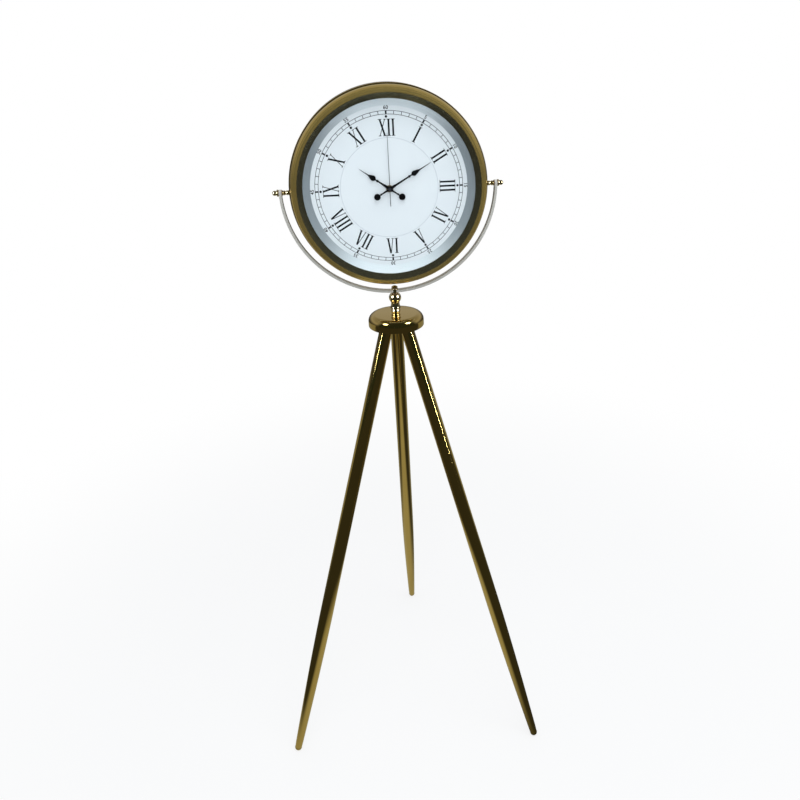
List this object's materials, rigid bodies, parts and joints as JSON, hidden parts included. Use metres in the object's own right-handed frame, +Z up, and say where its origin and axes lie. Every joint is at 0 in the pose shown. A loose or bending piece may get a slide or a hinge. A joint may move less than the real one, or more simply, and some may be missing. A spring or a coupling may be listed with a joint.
{
  "type": "tripod floor clock",
  "caption": "Round brass clock with a white Roman dial, tilting in a half-ring yoke on a turned post and a tall tapered-leg tripod.",
  "frame": {"origin": "on the floor, under the middle of the whole clock's box", "axes": "+Z up, the dial faces -Y, +X to the right of someone facing the dial"},
  "size_m": [0.5653, 0.5084, 1.4369],
  "materials": {
    "polished_brass": "polished, lacquered",
    "dark_brass": "satin",
    "yoke_brass": "satin, pale",
    "steel": "plain",
    "hand_black": "satin black",
    "hand_grey": "satin dark grey",
    "dial_white": "matte white with printed numerals and minute track",
    "satin_ring": "satin, turned",
    "glass": "clear",
    "rubber": "matte",
    "black_plastic": "moulded",
    "white_plastic": "moulded",
    "fibre": "pressed fibre",
    "coil_wire": "enamelled copper wire, wound",
    "board": "lacquered circuit board",
    "cell": "plain printed sleeve",
    "magnet": "plated magnet"
  },
  "bodies": {
    "tripod": {"leg_tube_left": "polished_brass", "leg_tube_right": "polished_brass", "leg_tube_rear": "polished_brass", "leg_tip_left": "polished_brass", "leg_tip_right": "polished_brass", "leg_tip_rear": "polished_brass", "leg_plugs": "steel", "leg_studs": "steel", "hub_plate": "dark_brass", "hub_cap": "polished_brass", "post": "polished_brass", "hub_washer": "steel", "hub_nut": "steel", "swivel_nut": "polished_brass", "swivel_washers": "fibre"},
    "yoke": {"yoke": "yoke_brass"},
    "head": {"drum": "polished_brass", "bezel": "polished_brass", "glass": "glass", "glass_gasket": "rubber", "dial_ring": "satin_ring", "dial": "dial_white", "back_cover": "dark_brass", "back_screws": "steel", "trunnion_left": "polished_brass", "trunnion_right": "polished_brass", "finial_left": "polished_brass", "finial_right": "polished_brass", "trunnion_nuts": "steel", "tilt_washers": "fibre", "movement_housing": "black_plastic", "movement_cover": "black_plastic", "bush_nut": "polished_brass", "bush_washer": "rubber", "train_bridge": "white_plastic", "stator": "steel", "coil": "coil_wire", "coil_bobbin": "white_plastic", "circuit_board": "board", "crystal": "steel", "battery": "cell", "battery_contacts": "steel"},
    "access_lid": {"access_lid": "dark_brass"},
    "minute": {"minute_hand": "hand_black", "cannon_pinion": "white_plastic", "centre_wheel": "white_plastic"},
    "hour": {"hour_hand": "hand_black", "hour_wheel": "white_plastic"},
    "minute_wheel": {"minute_wheel": "white_plastic", "setting_knob": "white_plastic"},
    "second": {"second_hand": "hand_grey", "seconds_wheel": "white_plastic"},
    "third_wheel": {"third_wheel": "white_plastic"},
    "intermediate_wheel": {"intermediate_wheel": "white_plastic"},
    "rotor": {"rotor": "magnet"}
  },
  "joints": [
    {"name": "yoke_swivel", "type": "hinge", "parent": "tripod", "child": "yoke", "pos_m": [0.00977, -0.07139, 1.056], "axis": [0, 0, 1], "continuous": true},
    {"name": "head_tilt", "type": "hinge", "parent": "yoke", "child": "head", "pos_m": [0.00977, -0.07139, 1.2549], "axis": [1, 0, 0], "continuous": true},
    {"name": "lid_pull", "type": "slide", "parent": "head", "child": "access_lid", "axis": [0, 1, 0], "range_m": [0, 0.03]},
    {"name": "second_spin", "type": "hinge", "parent": "head", "child": "second", "pos_m": [0.00977, -0.07139, 1.2549], "axis": [0, 1, 0], "continuous": true},
    {"name": "hour_spin", "type": "hinge", "parent": "head", "child": "hour", "pos_m": [0.00977, -0.07139, 1.2549], "axis": [0, 1, 0], "continuous": true},
    {"name": "minute_wheel_spin", "type": "hinge", "parent": "head", "child": "minute_wheel", "pos_m": [0.00977, -0.07139, 1.2419], "axis": [0, 1, 0], "continuous": true},
    {"name": "minute_spin", "type": "hinge", "parent": "head", "child": "minute", "pos_m": [0.00977, -0.07139, 1.2549], "axis": [0, 1, 0], "continuous": true},
    {"name": "third_wheel_spin", "type": "hinge", "parent": "head", "child": "third_wheel", "pos_m": [0.00977, -0.07139, 1.26714], "axis": [0, 1, 0], "continuous": true},
    {"name": "intermediate_wheel_spin", "type": "hinge", "parent": "head", "child": "intermediate_wheel", "pos_m": [0.00257, -0.07139, 1.2549], "axis": [0, 1, 0], "continuous": true},
    {"name": "rotor_spin", "type": "hinge", "parent": "head", "child": "rotor", "pos_m": [-0.00443, -0.07139, 1.2549], "axis": [0, 1, 0], "continuous": true}
  ],
  "couplings": [
    {"joint": "minute_spin", "follows": "second_spin", "ratio": 0.016667},
    {"joint": "hour_spin", "follows": "second_spin", "ratio": 0.0013889},
    {"joint": "minute_wheel_spin", "follows": "second_spin", "ratio": -0.0055556},
    {"joint": "third_wheel_spin", "follows": "second_spin", "ratio": -0.13333},
    {"joint": "intermediate_wheel_spin", "follows": "second_spin", "ratio": -5},
    {"joint": "rotor_spin", "follows": "second_spin", "ratio": 30}
  ]
}
